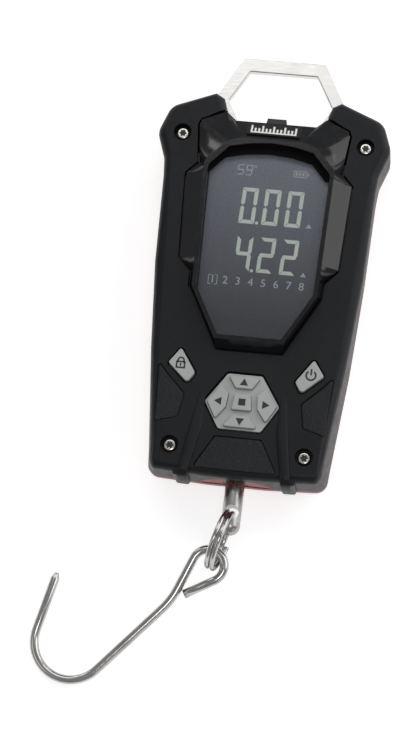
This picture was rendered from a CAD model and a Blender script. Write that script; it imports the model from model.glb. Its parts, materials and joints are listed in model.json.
"""Looks of the digital fish scale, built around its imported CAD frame. Metres, +Z up, lying on its back."""
import json
import math

import bmesh
import bpy
import numpy
from mathutils import Matrix, Vector, noise
from mathutils.geometry import delaunay_2d_cdt


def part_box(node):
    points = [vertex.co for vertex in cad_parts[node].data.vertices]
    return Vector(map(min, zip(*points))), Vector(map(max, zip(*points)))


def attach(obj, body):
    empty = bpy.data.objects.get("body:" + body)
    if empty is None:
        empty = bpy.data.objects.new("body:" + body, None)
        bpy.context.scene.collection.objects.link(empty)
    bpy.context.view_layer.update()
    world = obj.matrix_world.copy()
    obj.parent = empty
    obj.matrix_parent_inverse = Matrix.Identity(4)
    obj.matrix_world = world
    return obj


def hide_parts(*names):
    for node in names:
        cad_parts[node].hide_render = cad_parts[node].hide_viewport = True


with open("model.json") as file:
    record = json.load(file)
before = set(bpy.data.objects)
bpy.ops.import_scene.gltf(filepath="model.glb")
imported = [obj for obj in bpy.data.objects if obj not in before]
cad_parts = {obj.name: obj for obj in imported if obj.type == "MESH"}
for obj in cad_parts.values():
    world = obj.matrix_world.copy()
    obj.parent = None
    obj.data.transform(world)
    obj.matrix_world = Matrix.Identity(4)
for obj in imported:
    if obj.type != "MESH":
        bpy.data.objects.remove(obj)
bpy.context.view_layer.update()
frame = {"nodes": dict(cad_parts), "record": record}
MM = 0.001

# ---------------------------------------------------------------- camera

CAMERA_PLACE = Vector((0.07961, -0.25227, 0.88125))
CAMERA_RIGHT = Vector((0.98982, 0.11955, -0.07728))
CAMERA_UP = Vector((-0.09575, 0.96084, 0.26005))
CAMERA_AHEAD = Vector((-0.10534, 0.25, -0.96250))


def make_camera():
    data = bpy.data.cameras.new("camera")
    data.lens = 117.19
    data.sensor_width = 36.0
    data.sensor_fit = "AUTO"
    data.clip_start = 0.05
    data.clip_end = 10.0
    camera = bpy.data.objects.new("camera", data)
    bpy.context.scene.collection.objects.link(camera)
    turn = Matrix((CAMERA_RIGHT, CAMERA_UP, -CAMERA_AHEAD)).transposed().to_4x4()
    camera.matrix_world = Matrix.Translation(CAMERA_PLACE) @ turn
    bpy.context.scene.camera = camera


make_camera()

# ---------------------------------------------------------------- materials


class Finish:
    """A Principled material whose colour, roughness and bump come from noise in object space."""

    def __init__(self, name, **sockets):
        self.material = bpy.data.materials.new(name)
        self.material.use_nodes = True
        self.tree = self.material.node_tree
        self.tree.nodes.clear()
        self.output = self.tree.nodes.new("ShaderNodeOutputMaterial")
        self.shader = self.tree.nodes.new("ShaderNodeBsdfPrincipled")
        self.link(self.shader.outputs[0], self.output.inputs[0])
        self.place = self.tree.nodes.new("ShaderNodeTexCoord").outputs["Object"]
        for socket, value in sockets.items():
            self.shader.inputs[socket.replace("_", " ")].default_value = value

    def link(self, source, target):
        self.tree.links.new(source, target)

    def stretched(self, scale):
        mapping = self.tree.nodes.new("ShaderNodeMapping")
        mapping.inputs["Scale"].default_value = scale
        self.link(self.place, mapping.inputs["Vector"])
        return mapping.outputs[0]

    def noise(self, scale, detail=2.0, stretch=None, rough=0.5):
        node = self.tree.nodes.new("ShaderNodeTexNoise")
        node.inputs["Scale"].default_value = scale
        node.inputs["Detail"].default_value = detail
        node.inputs["Roughness"].default_value = rough
        self.link(self.stretched(stretch) if stretch else self.place, node.inputs["Vector"])
        return node.outputs[0]

    def cells(self, scale, feature="F1"):
        node = self.tree.nodes.new("ShaderNodeTexVoronoi")
        node.feature = feature
        node.inputs["Scale"].default_value = scale
        self.link(self.place, node.inputs["Vector"])
        return node.outputs["Distance"]

    def spread(self, value, low, high, start=0.3, end=0.7):
        node = self.tree.nodes.new("ShaderNodeMapRange")
        for socket, number in zip(("From Min", "From Max", "To Min", "To Max"), (start, end, low, high)):
            node.inputs[socket].default_value = number
        self.link(value, node.inputs["Value"])
        return node.outputs[0]

    def blend(self, value, low, high, start=0.3, end=0.7):
        node = self.tree.nodes.new("ShaderNodeValToRGB")
        node.color_ramp.elements[0].position = start
        node.color_ramp.elements[1].position = end
        node.color_ramp.elements[0].color = (*low, 1.0)
        node.color_ramp.elements[1].color = (*high, 1.0)
        self.link(value, node.inputs[0])
        return node.outputs[0]

    def colour(self, value, low, high, start=0.3, end=0.7):
        self.link(self.blend(value, low, high, start, end), self.shader.inputs["Base Color"])
        return self

    def roughness(self, value, low, high, start=0.3, end=0.7):
        self.link(self.spread(value, low, high, start, end), self.shader.inputs["Roughness"])
        return self

    def bump(self, *heights):
        """Each height is (noise output, depth in metres)."""
        normal = None
        for value, depth in heights:
            node = self.tree.nodes.new("ShaderNodeBump")
            node.inputs["Distance"].default_value = depth
            self.link(value, node.inputs["Height"])
            if normal:
                self.link(normal, node.inputs["Normal"])
            normal = node.outputs[0]
        self.link(normal, self.shader.inputs["Normal"])
        return self


def shade(colour, share):
    return tuple(part * share for part in colour)


def moulded(name, colour, rough, grain=0.00002, grain_scale=5200.0, variety=0.25, **sockets):
    """Moulded plastic: fine spark-eroded grain, faint flow clouds and handling marks in its gloss."""
    finish = Finish(name, **sockets)
    clouds = finish.noise(55.0, 3.0)
    handling = finish.noise(420.0, 4.0, rough=0.65)
    finish.colour(clouds, shade(colour, 1 - variety), shade(colour, 1 + variety))
    finish.roughness(handling, rough - 0.07, rough + 0.07)
    sparks = finish.noise(grain_scale, 1.5)
    waves = finish.noise(700.0, 2.0)
    return finish.bump((sparks, grain), (waves, grain * 1.2)).material


def turned(name, colour, rough, stretch, scratch=0.000006, variety=0.08, **sockets):
    """Metal with fine scratches drawn out along one direction."""
    finish = Finish(name, Metallic=1.0, **sockets)
    lines = finish.noise(1.0, 3.0, stretch=stretch, rough=0.7)
    finish.colour(finish.noise(160.0, 3.0), shade(colour, 1 - variety), colour)
    finish.roughness(lines, rough * 0.7, rough * 1.35)
    return finish.bump((lines, scratch)).material


def grained(name, colour, rough, cell, depth, **sockets):
    """Rubber with a pebbled skin."""
    finish = Finish(name, **sockets)
    pebbles = finish.cells(cell, "SMOOTH_F1")
    finish.colour(finish.noise(90.0, 3.0), shade(colour, 0.75), shade(colour, 1.3))
    finish.roughness(pebbles, rough - 0.12, rough + 0.12, 0.1, 0.7)
    return finish.bump((pebbles, depth), (finish.noise(cell * 4, 2.0), depth * 0.2)).material


def clear():
    """Clear window: mostly see-through, with a weak mirror on its faces."""
    finish = Finish("window_clear")
    see = finish.tree.nodes.new("ShaderNodeBsdfTransparent")
    see.inputs[0].default_value = (0.97, 0.98, 0.985, 1.0)
    gloss = finish.tree.nodes.new("ShaderNodeBsdfGlossy")
    finish.link(finish.spread(finish.noise(180.0, 3.0), 0.02, 0.07), gloss.inputs["Roughness"])
    facing = finish.tree.nodes.new("ShaderNodeFresnel")
    facing.inputs["IOR"].default_value = 1.46
    mix = finish.tree.nodes.new("ShaderNodeMixShader")
    finish.link(facing.outputs[0], mix.inputs[0])
    finish.link(see.outputs[0], mix.inputs[1])
    finish.link(gloss.outputs[0], mix.inputs[2])
    finish.link(mix.outputs[0], finish.output.inputs[0])
    finish.tree.nodes.remove(finish.shader)
    return finish.material


def display_glass():
    """Dark display glass, paler towards its top, with the fine sparkle of its diffuser."""
    finish = Finish("display_dark", Roughness=0.42, Specular_IOR_Level=0.35)
    split = finish.tree.nodes.new("ShaderNodeSeparateXYZ")
    finish.link(finish.place, split.inputs[0])
    low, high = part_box("lcd_panel")
    fade = finish.spread(split.outputs["Y"], 0.0, 1.0, low.y, high.y)
    base = finish.blend(fade, (0.070, 0.072, 0.084), (0.310, 0.318, 0.380), 0.1, 0.95)
    sparkle = finish.blend(finish.noise(2600.0, 2.0, rough=0.8), (0.72, 0.72, 0.74), (1.3, 1.3, 1.28))
    mix = finish.tree.nodes.new("ShaderNodeMix")
    mix.data_type = "RGBA"
    mix.blend_type = "MULTIPLY"
    mix.inputs[0].default_value = 1.0
    finish.link(base, mix.inputs[6])
    finish.link(sparkle, mix.inputs[7])
    finish.link(mix.outputs[2], finish.shader.inputs["Base Color"])
    finish.roughness(finish.noise(300.0, 2.0), 0.36, 0.5)
    return finish.bump((finish.noise(4200.0, 1.0), 0.000006)).material


MATERIALS = {
    "soft_black": moulded("soft_touch_black", (0.0052, 0.0062, 0.0085), 0.44, 0.00003, 3600.0,
                          Specular_IOR_Level=0.27),
    "red_shell": moulded("moulded_red", (0.22, 0.008, 0.006), 0.40, 0.00002, 4200.0, 0.12),
    "black_rubber": moulded("seal_rubber", (0.010, 0.010, 0.011), 0.72, 0.00004, 3000.0),
    "grain_rubber": grained("grip_rubber", (0.0062, 0.0070, 0.0090), 0.46, 1500.0, 0.00008,
                            Specular_IOR_Level=0.34),
    "gloss_black": moulded("gloss_black", (0.006, 0.0065, 0.008), 0.16, 0.000004, 2200.0,
                           Specular_IOR_Level=0.42, Coat_Weight=0.12, Coat_Roughness=0.06),
    "clear_lens": clear(),
    "dark_plastic": moulded("dark_plastic", (0.010, 0.010, 0.011), 0.48, 0.00002, 4200.0),
    "lcd_dark": display_glass(),
    "diffuser": moulded("diffuser_white", (0.62, 0.64, 0.62), 0.55, 0.00002, 3000.0, 0.05),
    "plate_black": moulded("plate_black", (0.005, 0.005, 0.006), 0.32, 0.000008, 2600.0),
    "key_grey": moulded("key_grey", (0.405, 0.425, 0.412), 0.47, 0.00002, 4800.0, 0.05),
    "dome_steel": turned("dome_steel", (0.70, 0.69, 0.66), 0.26, (900.0, 900.0, 900.0)),
    "board_green": moulded("board_green", (0.020, 0.140, 0.055), 0.34, 0.00003, 1400.0, 0.2,
                           Coat_Weight=0.4),
    "chip_black": moulded("chip_black", (0.016, 0.016, 0.017), 0.55, 0.00002, 6000.0),
    "connector_white": moulded("connector_white", (0.66, 0.65, 0.58), 0.42, 0.00002, 3000.0, 0.05),
    "screw_steel": turned("screw_steel", (0.78, 0.75, 0.70), 0.20, (1500.0, 1500.0, 300.0)),
    "cell_aluminium": turned("cell_aluminium", (0.70, 0.71, 0.73), 0.36, (2200.0, 60.0, 2200.0),
                             0.00001),
    "gauge_film": moulded("gauge_film", (0.46, 0.24, 0.05), 0.30, 0.00001, 2400.0, 0.2),
    "satin_steel": turned("satin_steel", (0.80, 0.785, 0.76), 0.34, (130.0, 3600.0, 130.0),
                          0.000012, 0.05),
    "polished_steel": turned("polished_steel", (0.56, 0.55, 0.54), 0.17, (700.0, 700.0, 700.0),
                             0.000008, 0.2),
    "bush_brass": turned("bush_brass", (0.085, 0.072, 0.058), 0.34, (500.0, 1800.0, 500.0)),
    "battery_jacket": moulded("battery_jacket", (0.035, 0.050, 0.085), 0.28, 0.000008, 1800.0, 0.15,
                              Coat_Weight=0.5),
    "contact_nickel": turned("contact_nickel", (0.76, 0.74, 0.69), 0.22, (800.0, 800.0, 800.0)),
    "lead_red": moulded("lead_red", (0.45, 0.02, 0.015), 0.45, 0.00001, 3000.0, 0.1),
    "lead_black": moulded("lead_black", (0.012, 0.012, 0.012), 0.45, 0.00001, 3000.0, 0.1),
}
INK = moulded("ink_dark", (0.016, 0.020, 0.018), 0.50, 0.00001, 4200.0, 0.2)
SEGMENT = moulded("segment_pale", (0.48, 0.52, 0.46), 0.50, 0.00001, 3200.0, 0.12,
                  Emission_Color=(0.48, 0.52, 0.46, 1.0), Emission_Strength=0.36)
SEGMENT_FAINT = moulded("segment_faint", (0.40, 0.42, 0.41), 0.50, 0.00001, 3200.0, 0.15,
                        Emission_Color=(0.40, 0.42, 0.41, 1.0), Emission_Strength=0.27)
BORDER = moulded("border_black", (0.0025, 0.0025, 0.003), 0.65, 0.00001, 2600.0, Specular_IOR_Level=0.08)
LIP = moulded("lip_grey", (0.36, 0.37, 0.39), 0.24, 0.000004, 2200.0, 0.15)
STUD = turned("stud_steel", (0.46, 0.45, 0.44), 0.30, (900.0, 300.0, 900.0), 0.00001, 0.2)
MARK = moulded("mark_white", (0.80, 0.79, 0.77), 0.42, 0.00001, 3200.0, 0.05)

bodies = frame["record"]["behaviour"]["bodies"]
body_of = {node: body for body, nodes in bodies.items() for node in nodes}


def slot_of(node):
    for part in frame["record"]["subparts"]:
        if part["node"] == node:
            return part["material_slot"]


for name, item in frame["nodes"].items():
    for material_slot in item.material_slots:
        material_slot.material = MATERIALS[slot_of(name)]

# ---------------------------------------------------------------- mesh helpers


def smooth(mesh, degrees=32.0):
    for polygon in mesh.polygons:
        polygon.use_smooth = True
    mesh.set_sharp_from_angle(angle=math.radians(degrees))


def add_piece(name, mesh, body, slot, material=None):
    piece = bpy.data.objects.new(name, mesh)
    bpy.context.scene.collection.objects.link(piece)
    mesh.materials.clear()
    mesh.materials.append(material or MATERIALS[slot])
    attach(piece, body)
    return piece


def settled(piece):
    """The piece's mesh with its modifiers worked in."""
    graph = bpy.context.evaluated_depsgraph_get()
    mesh = bpy.data.meshes.new_from_object(piece.evaluated_get(graph))
    piece.modifiers.clear()
    piece.data = mesh
    return mesh


def refined(node, width=0.0, segments=3, angle=24.0, sharp=32.0, material=None):
    """The node's own shape, welded, with its sharp edges softened as a mould leaves them."""
    source = frame["nodes"][node]
    mesh = source.data.copy()
    welded = bmesh.new()
    welded.from_mesh(mesh)
    bmesh.ops.remove_doubles(welded, verts=welded.verts, dist=1e-6)
    if width:
        bmesh.ops.dissolve_limit(welded, angle_limit=math.radians(0.8),
                                 verts=welded.verts, edges=welded.edges)
    welded.to_mesh(mesh)
    welded.free()
    mesh.name = f"{node}_fine"
    piece = add_piece(f"{node}_fine", mesh, body_of[node], slot_of(node), material)
    if width:
        bevel = piece.modifiers.new("soft edges", "BEVEL")
        bevel.width = width * MM
        bevel.segments = segments
        bevel.limit_method = "ANGLE"
        bevel.angle_limit = math.radians(angle)
        bevel.use_clamp_overlap = True
        smooth(settled(piece), sharp)
        even = piece.modifiers.new("flat faces stay flat", "WEIGHTED_NORMAL")
        even.weight = 80
        even.keep_sharp = True
        settled(piece)
    else:
        smooth(piece.data, sharp)
    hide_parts(node)
    return piece


def slab(name, outlines, base, height, body, slot, material=None):
    """Flat figure with straight sides. Outlines are (x, y) in millimetres, base and height in metres."""
    figure = bmesh.new()
    for outline in outlines:
        foot = [figure.verts.new((x * MM, y * MM, base)) for x, y in outline]
        crown = [figure.verts.new((x * MM, y * MM, base + height)) for x, y in outline]
        figure.faces.new(crown)
        figure.faces.new(foot[::-1])
        for index in range(len(outline)):
            after = (index + 1) % len(outline)
            figure.faces.new((foot[index], foot[after], crown[after], crown[index]))
    bmesh.ops.recalc_face_normals(figure, faces=figure.faces)
    mesh = bpy.data.meshes.new(name)
    figure.to_mesh(mesh)
    figure.free()
    return add_piece(name, mesh, body, slot, material)


def top_loop(node):
    """Corners round the node's highest flat face, in metres, in order."""
    shape = bmesh.new()
    shape.from_mesh(frame["nodes"][node].data)
    bmesh.ops.remove_doubles(shape, verts=shape.verts, dist=1e-6)
    high = max(vertex.co.z for vertex in shape.verts)
    crown = {face for face in shape.faces if min(vertex.co.z for vertex in face.verts) > high - 1e-5}
    follow = {}
    for face in crown:
        for corner in face.loops:
            if not any(other in crown for other in corner.edge.link_faces if other is not face):
                follow[corner.vert.index] = (corner.link_loop_next.vert.index, corner.vert.co.copy())
    first = place = next(iter(follow))
    points = []
    while place in follow and (place != first or not points):
        place, point = follow[place]
        points.append(point)
    shape.free()
    return points


def divided(points, step):
    """The closed outline with points no further apart than step."""
    result = []
    for index, point in enumerate(points):
        after = points[(index + 1) % len(points)]
        count = max(1, math.ceil((after - point).length / step))
        result += [point.lerp(after, part / count) for part in range(count)]
    return result


def distances(places, outline):
    """Each place's distance to the closed outline, and whether it lies inside."""
    places = numpy.array(places)
    starts = numpy.array(outline)
    ends = numpy.roll(starts, -1, axis=0)
    nearest = numpy.full(len(places), 1e9)
    inside = numpy.zeros(len(places), bool)
    for start, end in zip(starts, ends):
        run = end - start
        along = numpy.clip(((places - start) @ run) / max(run @ run, 1e-18), 0, 1)
        nearest = numpy.minimum(nearest, numpy.hypot(*(places - start - along[:, None] * run).T))
        crosses = (start[1] > places[:, 1]) != (end[1] > places[:, 1])
        if abs(run[1]) > 1e-12:
            meets = start[0] + (places[:, 1] - start[1]) / run[1] * run[0]
            inside ^= crosses & (places[:, 0] < meets)
    return nearest, inside


def pebble(x, y, size):
    """Leather grain, 0 in its creases to 1 on its pebbles."""
    wander = noise.noise_vector(Vector((x, y, 0)) / (size * 2.5)) * size * 0.7
    reach = noise.voronoi((Vector((x, y, 0)) + wander) / size)[0]
    return min(1.0, (reach[1] - reach[0]) * 2.2) * (0.8 + 0.2 * noise.noise(Vector((x, y, 5.0)) / size))


def leather_plate(node, name, step=0.00024, size=0.00095, depth=0.00014, sink=0.00022, edge=0.0006):
    """The node's plate with a rounded border and a pebbled top."""
    corners = top_loop(node)
    low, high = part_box(node)
    border = [Vector((point.x, point.y)) for point in divided(corners, step)]
    columns = int((high.x - low.x) / step)
    rows = int((high.y - low.y) / step)
    grid = [(low.x + step * (column + 0.5 * (line % 2)), low.y + step * line)
            for line in range(rows) for column in range(columns)]
    near, inside = distances(grid, [tuple(point) for point in border])
    kept = [Vector(place) for place, gap, within in zip(grid, near, inside)
            if within and gap > step * 0.6]
    count = len(border)
    ties = [(index, (index + 1) % count) for index in range(count)]
    flat, _, faces, _, _, _ = delaunay_2d_cdt(border + kept, ties, [], 1, 1e-9)
    near, _ = distances([tuple(place) for place in flat], [tuple(point) for point in border])
    mesh_shape = bmesh.new()
    tops = []
    for place, gap in zip(flat, near):
        rise = math.sin(min(gap / edge, 1.0) * math.pi / 2)
        grain = pebble(place.x, place.y, size) * depth * rise
        tops.append(mesh_shape.verts.new((place.x, place.y, high.z - sink * (1 - rise) - depth + grain)))
    for face in faces:
        mesh_shape.faces.new([tops[index] for index in face])
    rim = [edge_found for edge_found in mesh_shape.edges if edge_found.is_boundary]
    wall = bmesh.ops.extrude_edge_only(mesh_shape, edges=rim)["geom"]
    foot = [item for item in wall if isinstance(item, bmesh.types.BMVert)]
    for vertex in foot:
        vertex.co.z = low.z
    bmesh.ops.holes_fill(mesh_shape, edges=[item for item in mesh_shape.edges if item.is_boundary])
    bmesh.ops.recalc_face_normals(mesh_shape, faces=mesh_shape.faces)
    mesh = bpy.data.meshes.new(name)
    mesh_shape.to_mesh(mesh)
    mesh_shape.free()
    smooth(mesh, 60.0)
    piece = add_piece(name, mesh, body_of[node], slot_of(node))
    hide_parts(node)
    return piece


# ---------------------------------------------------------------- moulded parts

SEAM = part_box("case_gasket")[1].z
SHELL_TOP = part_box("grip_lower")[1].z


def drawn_in(piece):
    """The side walls lean inwards above the seam, more towards the lower end."""
    for vertex in piece.data.vertices:
        outward = min(1.0, max(0.0, (abs(vertex.co.x) - 0.0285) / 0.0060))
        height = min(1.0, max(0.0, (vertex.co.z - SEAM) / (SHELL_TOP - SEAM)))
        lower = min(1.0, max(0.0, (0.008 - vertex.co.y) / 0.068))
        pull = 0.0021 * outward * outward * (3 - 2 * outward) * height * lower
        vertex.co.x -= math.copysign(pull, vertex.co.x)
    piece.data.update()
    return piece


drawn_in(refined("front_shell", 0.45, 3))
refined("rear_cover", 0.35, 2)
refined("battery_door", 0.30, 2)
refined("display_bezel", 0.28, 3, 14.0)
refined("pad_base", 0.25, 2)
for key in ("lock_key", "power_key", "up_key", "down_key", "left_key", "right_key", "select_key"):
    refined(key, 0.28, 3)
refined("name_plate", 0.15, 2)
refined("handle_plate", 0.18, 2)
refined("case_screws", 0.08, 2)
for node in ("weigh_hook", "split_ring"):
    refined(node, sharp=38.0)
refined("hook_stud", sharp=38.0, material=STUD)

for grip in ("grip_left", "grip_right", "grip_lower"):
    drawn_in(leather_plate(grip, f"{grip}_leather"))


def rib(name, side):
    """Raised rib from the middle of the deck down over the lower edge, higher along its outer crease."""
    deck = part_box("grip_lower")[1].z + 0.00013
    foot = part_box("front_shell")[0].y
    wall_end_z = 0.0152
    skin = 0.0002
    full_lift = 0.00075
    rounding = 0.0034
    start_y, start_x, end_x = -0.0384, 0.0160, 0.0213
    inner_top, inner_end = 0.0138, 0.0172
    rows = 46
    columns = (0.0, 0.05, 0.14, 0.5, 0.86, 0.95, 1.0)
    rise = (0.0, 0.72, 1.0, 1.0, 0.9, 0.6, 0.0)
    shape = bmesh.new()
    lines = []
    for line in range(rows + 1):
        share = line / rows
        y = start_y + (foot + 0.0004 - start_y) * share
        outer = start_x + (end_x - start_x) * share
        inner = inner_top + (inner_end - inner_top) * max(0.0, (share - 0.45) / 0.55)
        inner = min(inner, outer - 0.0016 - 0.002 * share)
        past = max(0.0, min(rounding, rounding - (y - foot)))
        surface = deck - rounding + math.sqrt(max(rounding ** 2 - past ** 2, 0.0))
        lift = full_lift * min(1.0, share * 1.6)
        upwards = math.sqrt(1 - (past / rounding) ** 2)
        lines.append([shape.verts.new((side * (outer + (inner - outer) * across),
                                       y - lift * up * (past / rounding),
                                       surface - skin + (lift + skin) * up * upwards))
                      for across, up in zip(columns, rise)])
    last = [shape.verts.new((vertex.co.x, vertex.co.y, wall_end_z)) for vertex in lines[-1]]
    lines.append(last)
    for above, below in zip(lines, lines[1:]):
        for index in range(len(columns) - 1):
            shape.faces.new((above[index], above[index + 1], below[index + 1], below[index]))
    rim = [edge for edge in shape.edges if edge.is_boundary]
    inward = bmesh.ops.extrude_edge_only(shape, edges=rim)["geom"]
    for vertex in [item for item in inward if isinstance(item, bmesh.types.BMVert)]:
        vertex.co.z -= 0.0006 if vertex.co.y > foot + rounding else 0.0
        vertex.co.y += 0.0012 if vertex.co.y <= foot + rounding else 0.0
    bmesh.ops.holes_fill(shape, edges=[edge for edge in shape.edges if edge.is_boundary])
    bmesh.ops.recalc_face_normals(shape, faces=shape.faces)
    mesh = bpy.data.meshes.new(name)
    shape.to_mesh(mesh)
    shape.free()
    smooth(mesh, 50.0)
    return add_piece(name, mesh, "case", "soft_black")


rib("rib_right", 1)
rib("rib_left", -1)

# ---------------------------------------------------------------- window band and edge

WINDOW = top_loop("display_lens")
window_top = max(point.y for point in WINDOW)


def shaded_by(point):
    """How much of the dark band a corner of the window carries."""
    return max(0.0, min(1.0, (point.y - window_top + 0.0135) / 0.0045))


outside = divided(WINDOW, 0.0008)
border_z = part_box("display_lens")[1].z + 0.00008
border_shape = bmesh.new()
pairs = [(point, point + Vector((-0.0007, -0.0046, 0)) * shaded_by(point)) for point in outside]
outer_verts = [border_shape.verts.new((a.x, a.y, border_z)) for a, b in pairs]
inner_verts = [border_shape.verts.new((b.x, b.y, border_z)) for a, b in pairs]
for index, (a, b) in enumerate(pairs):
    after = (index + 1) % len(pairs)
    if (a - b).length > 1e-5 and (pairs[after][0] - pairs[after][1]).length > 1e-5:
        border_shape.faces.new((outer_verts[index], outer_verts[after],
                                inner_verts[after], inner_verts[index]))
bmesh.ops.delete(border_shape, geom=[v for v in border_shape.verts if not v.link_faces], context="VERTS")
bmesh.ops.solidify(border_shape, geom=border_shape.faces, thickness=0.00008)
bmesh.ops.recalc_face_normals(border_shape, faces=border_shape.faces)
border_mesh = bpy.data.meshes.new("window_border")
border_shape.to_mesh(border_mesh)
border_shape.free()
add_piece("window_border", border_mesh, "case", "dark_plastic", BORDER)


def outward(points, reach):
    """The closed outline moved outwards by reach."""
    turn = sum(a.x * b.y - a.y * b.x for a, b in zip(points, points[1:] + points[:1]))
    side = math.copysign(1.0, turn)
    moved = []
    for index, point in enumerate(points):
        run = points[(index + 1) % len(points)] - points[index - 1]
        moved.append(point + Vector((run.y, -run.x, 0)).normalized() * reach * side)
    return moved


lip_shape = bmesh.new()
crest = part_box("display_lens")[1].z
profile = ((-0.00042, -0.0001), (-0.00038, 0.00012), (-0.00026, 0.00020), (-0.00012, 0.00020),
           (0.0, -0.0001))
hoops = [[lip_shape.verts.new((point.x, point.y, crest + up)) for point in outward(outside, out)]
         for out, up in profile]
for near_hoop, far_hoop in zip(hoops, hoops[1:] + hoops[:1]):
    for index in range(len(outside)):
        after = (index + 1) % len(outside)
        lip_shape.faces.new((near_hoop[index], near_hoop[after], far_hoop[after], far_hoop[index]))
bmesh.ops.recalc_face_normals(lip_shape, faces=lip_shape.faces)
lip_mesh = bpy.data.meshes.new("window_lip")
lip_shape.to_mesh(lip_mesh)
lip_shape.free()
smooth(lip_mesh, 70.0)
add_piece("window_lip", lip_mesh, "case", "gloss_black", LIP)

# ---------------------------------------------------------------- display figures

LCD_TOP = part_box("lcd_panel")[1].z
FIGURE_FOOT = LCD_TOP + 0.00001
FIGURE_HEIGHT = 0.00004
DIGITS = {"0": "abcdef", "1": "bc", "2": "abged", "4": "fgbc", "5": "afgcd", "9": "abcdfg"}


def segments(digit, left, foot, width, height, stroke, lean, gap=0.16):
    """Outlines of a seven-segment digit with mitred corners."""
    half = height / 2
    mid = stroke / 2
    inset = gap / 2
    shapes = {
        "a": [(inset, height), (width - inset, height), (width - stroke, height - stroke + inset),
              (stroke, height - stroke + inset)],
        "d": [(inset, 0), (stroke, stroke - inset), (width - stroke, stroke - inset), (width - inset, 0)],
        "g": [(inset * 2, half), (mid + inset, half + mid), (width - mid - inset, half + mid),
              (width - inset * 2, half), (width - mid - inset, half - mid), (mid + inset, half - mid)],
        "f": [(0, height - inset * 2), (stroke - inset, height - stroke - inset),
              (stroke - inset, half + mid + inset), (mid - inset, half + inset * 2), (0, half + mid)],
        "e": [(0, inset * 2), (0, half - mid), (mid - inset, half - inset * 2),
              (stroke - inset, half - mid - inset), (stroke - inset, stroke + inset)],
    }
    shapes["b"] = [(width - x, y) for x, y in shapes["f"]]
    shapes["c"] = [(width - x, y) for x, y in shapes["e"]]
    return [[(left + x + lean * y / height, foot + y) for x, y in shapes[key]] for key in DIGITS[digit]]


def dot(x, y, radius, sides=14):
    turn = 2 * math.pi / sides
    return [(x + radius * math.cos(turn * step), y + radius * math.sin(turn * step))
            for step in range(sides)]


def bar(x1, y1, x2, y2, width):
    """A straight stroke as a four-sided outline."""
    across = Vector((y1 - y2, x2 - x1)).normalized() * width / 2
    return [(x1 + across.x, y1 + across.y), (x1 - across.x, y1 - across.y),
            (x2 - across.x, y2 - across.y), (x2 + across.x, y2 + across.y)]


def ring_outline(x, y, outer, inner, first, last, steps=20):
    turn = [math.radians(first + (last - first) * step / steps) for step in range(steps + 1)]
    return ([(x + outer * math.cos(a), y + outer * math.sin(a)) for a in turn]
            + [(x + inner * math.cos(a), y + inner * math.sin(a)) for a in reversed(turn)])


def row(text, lefts, foot, width, height, stroke, lean):
    return [shape for digit, left in zip(text, lefts)
            for shape in segments(digit, left, foot, width, height, stroke, lean)]


big = row("000", (-9.75, -1.05, 7.62), 26.7, 6.05, 14.3, 1.55, 0.45)
big += row("422", (-9.55, -0.85, 7.80), 7.8, 6.0, 13.9, 1.5, 0.45)
big += [dot(-2.72, 27.2, 0.62), dot(-2.50, 8.25, 0.62)]
slab("weight_figures", big, FIGURE_FOOT, FIGURE_HEIGHT, "case", "lcd_dark", SEGMENT)
small = row("59", (-12.5, -9.3), 45.9, 2.5, 4.2, 0.45, 0.35)
small += [ring_outline(-5.6, 49.6, 0.5, 0.25, 0, 359),
          bar(9.2, 46.9, 9.2, 49.3, 0.3), bar(9.2, 49.3, 14.0, 49.3, 0.3),
          bar(9.2, 46.9, 14.0, 46.9, 0.3), bar(14.0, 46.9, 14.0, 49.3, 0.3),
          bar(14.6, 47.6, 14.6, 48.6, 0.4)]
small += [bar(x, 47.4, x, 48.8, 0.7) for x in (10.2, 11.5, 12.8)]
BRACKET_LEFT, BRACKET_RIGHT, BRACKET_LOW, BRACKET_HIGH = -18.3, -15.0, 1.8, 5.4
small += [bar(x, BRACKET_LOW, x, BRACKET_HIGH, 0.22) for x in (BRACKET_LEFT, BRACKET_RIGHT)]
small += [bar(x, y, x + 1.0, y, 0.22)
          for y in (BRACKET_HIGH, BRACKET_LOW) for x in (BRACKET_LEFT, BRACKET_RIGHT - 1.0)]
small += [[(15.9, foot - 0.7), (18.1, foot - 0.7), (17.0, foot + 1.0)] for foot in (27.6, 8.3)]
slab("small_figures", small, FIGURE_FOOT, FIGURE_HEIGHT, "case", "lcd_dark", SEGMENT_FAINT)


def numeral(character, x, y, size):
    data = bpy.data.curves.new(f"numeral_{character}", "FONT")
    data.body = character
    data.size = size * MM
    data.align_x = "CENTER"
    data.align_y = "CENTER"
    data.extrude = FIGURE_HEIGHT / 2
    data.resolution_u = 3
    holder = bpy.data.objects.new(f"numeral_{character}", data)
    bpy.context.scene.collection.objects.link(holder)
    holder.location = (x * MM, y * MM, FIGURE_FOOT + FIGURE_HEIGHT / 2)
    bpy.context.view_layer.update()
    mesh = bpy.data.meshes.new_from_object(holder.evaluated_get(bpy.context.evaluated_depsgraph_get()))
    mesh.transform(holder.matrix_world)
    bpy.data.objects.remove(holder)
    add_piece(f"memory_{character}", mesh, "case", "lcd_dark", SEGMENT_FAINT)


for place in range(8):
    numeral(str(place + 1), -16.75 + 4.8 * place, 3.65, 4.3)

# ---------------------------------------------------------------- key symbols


def on_key(name, outlines, key):
    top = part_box(key)[1].z
    slab(name, outlines, top - 0.00002, 0.00006, key, slot_of(key), INK)


def centred(node):
    low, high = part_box(node)
    return (low.x + high.x) / 2 / MM, (low.y + high.y) / 2 / MM


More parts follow.
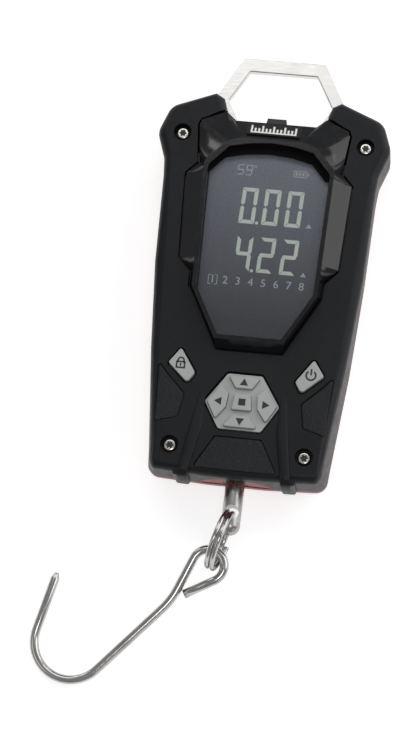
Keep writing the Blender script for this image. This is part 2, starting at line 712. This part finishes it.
ARROW = 1.55
x, y = centred("up_key")
on_key("mark_up", [[(x - ARROW, y - 1.2), (x + ARROW, y - 1.2), (x, y + 1.5)]], "up_key")
x, y = centred("down_key")
on_key("mark_down", [[(x - ARROW, y + 1.2), (x + ARROW, y + 1.2), (x, y - 1.5)]], "down_key")
x, y = centred("left_key")
on_key("mark_left", [[(x + 1.5, y - ARROW), (x + 1.5, y + ARROW), (x - 1.2, y)]], "left_key")
x, y = centred("right_key")
on_key("mark_right", [[(x - 1.5, y - ARROW), (x - 1.5, y + ARROW), (x + 1.2, y)]], "right_key")
x, y = centred("select_key")
on_key("mark_select", [[(x - 1.3, y - 1.3), (x + 1.3, y - 1.3), (x + 1.3, y + 1.3), (x - 1.3, y + 1.3)]],
       "select_key")
x, y = -24.4, -30.6
lock_body = [bar(x - 1.7, y - 1.5, x + 1.7, y - 1.5, 0.6), bar(x - 1.7, y + 0.75, x + 1.7, y + 0.75, 0.6),
             bar(x - 1.5, y - 1.5, x - 1.5, y + 0.9, 0.6), bar(x + 1.5, y - 1.5, x + 1.5, y + 0.9, 0.6)]
lock_bow = [ring_outline(x, y + 1.3, 1.4, 0.8, 0, 180), bar(x - 1.1, y + 0.8, x - 1.1, y + 1.35, 0.6),
            bar(x + 1.1, y + 0.8, x + 1.1, y + 1.35, 0.6)]
lock_keyhole = [dot(x, y - 0.2, 0.36), bar(x, y - 0.2, x, y - 1.0, 0.3)]
on_key("mark_lock", lock_body + lock_bow + lock_keyhole, "lock_key")
x, y = 24.3, -30.4
on_key("mark_power", [ring_outline(x, y, 2.1, 1.45, 125, 415, 30), bar(x, y + 0.1, x, y + 2.5, 0.62)],
       "power_key")

# ---------------------------------------------------------------- name plate motif

plate = frame["nodes"]["name_plate"].data
face = max(plate.polygons, key=lambda polygon: polygon.area * (polygon.normal.z > 0.3))
low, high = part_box("name_plate")
middle = Vector(((low.x + high.x) / 2, (low.y + high.y) / 2, 0))
tilt = face.normal.copy()
offset = middle - face.center
middle.z = face.center.z - (tilt.x * offset.x + tilt.y * offset.y) / tilt.z
rightwards = Vector((1, 0, 0))
lean = Matrix((rightwards, tilt.cross(rightwards), tilt)).transposed().to_4x4()
lean.translation = middle + tilt * 0.00001
ticks = [bar(x, -1.4, x, 2.1 if step % 3 == 0 else 0.6, 0.72)
         for step, x in enumerate(-8.4 + 1.4 * step for step in range(13))]
base_line = bar(-8.76, -1.75, 8.76, -1.75, 0.7)
motif = slab("plate_ticks", ticks + [base_line], 0.0, 0.00008, "case", "plate_black", MARK)
motif.data.transform(lean)

# ---------------------------------------------------------------- screw recesses and top latch


def lobes(x, y, radius):
    """Outline of a six-lobed driver recess."""
    steps = 48
    outline = []
    for step in range(steps):
        angle = 2 * math.pi / steps * step
        reach = radius * (1 + 0.16 * math.cos(6 * angle))
        outline.append((x + reach * math.cos(angle), y + reach * math.sin(angle)))
    return outline


low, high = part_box("case_screws")
HEAD_RADIUS = 2.5
LOWER_SCREW_X = 25.0
upper_y = high.y / MM - HEAD_RADIUS
lower_y = low.y / MM + HEAD_RADIUS
screw_places = ((high.x / MM - HEAD_RADIUS, upper_y), (low.x / MM + HEAD_RADIUS, upper_y),
                (LOWER_SCREW_X, lower_y), (-LOWER_SCREW_X, lower_y))
recesses = [lobes(x, y, 1.22) for x, y in screw_places]
LATCH = [(-4.2, 67.6), (4.2, 67.6), (3.6, 70.9), (-3.6, 70.9)]
slab("top_latch", [LATCH], 0.0195, 0.0032, "case", "gloss_black")
slab("screw_recesses", recesses, high.z - 0.00035, 0.0004, "case", "screw_steel", INK)

# ---------------------------------------------------------------- stage and light

stage_mesh = bpy.data.meshes.new("floor")
REACH = 3.0
corners = [(-REACH, -REACH, 0), (REACH, -REACH, 0), (REACH, REACH, 0), (-REACH, REACH, 0)]
stage_mesh.from_pydata(corners, [], [(0, 1, 2, 3)])
floor = bpy.data.objects.new("floor", stage_mesh)
bpy.context.scene.collection.objects.link(floor)
paper = Finish("floor_paper", Roughness=0.9, Specular_IOR_Level=0.1, Emission_Color=(1.0, 1.0, 1.0, 1.0),
               Emission_Strength=0.68)
paper.colour(paper.noise(6.0, 2.0), (0.58, 0.58, 0.58), (0.62, 0.62, 0.62))
paper.bump((paper.noise(900.0, 2.0), 0.00001))
stage_mesh.materials.append(paper.material)
floor.location.z = -0.0001

world = bpy.data.worlds.new("studio")
bpy.context.scene.world = world
world.use_nodes = True
world.node_tree.nodes["Background"].inputs[0].default_value = (1.0, 1.0, 1.0, 1.0)
world.node_tree.nodes["Background"].inputs[1].default_value = 0.30
bpy.context.scene.view_settings.view_transform = "Standard"


HOOK_MIDDLE = (-0.04, -0.11, 0.0)


def softbox(name, place, width, height, strength, aim=(0.0, -0.02, 0.0)):
    """Area light that faces aim, with strength as its radiance."""
    data = bpy.data.lights.new(name, "AREA")
    data.shape = "RECTANGLE"
    data.size = width
    data.size_y = height
    data.energy = strength * width * height * math.pi
    light = bpy.data.objects.new(name, data)
    light.location = place
    light.rotation_mode = "QUATERNION"
    light.rotation_quaternion = (Vector(place) - Vector(aim)).to_track_quat("Z", "Y")
    bpy.context.scene.collection.objects.link(light)


softbox("key", (0.98, 0.40, 0.62), 1.0, 1.0, 1.7)
softbox("corner", (0.62, 1.05, 0.42), 0.7, 0.6, 1.3)
softbox("top", (-0.10, 0.75, 1.15), 1.0, 0.5, 1.7)
softbox("fill", (-0.9, -0.4, 0.9), 0.6, 0.6, 0.7)
softbox("strip_front", (0.75, -0.85, 0.45), 0.5, 0.22, 1.3, HOOK_MIDDLE)
softbox("spark", (0.15, -0.31, 1.15), 0.30, 0.30, 5.5, HOOK_MIDDLE)
softbox("strip_back", (-0.70, 0.80, 0.50), 0.5, 0.22, 3.0, HOOK_MIDDLE)
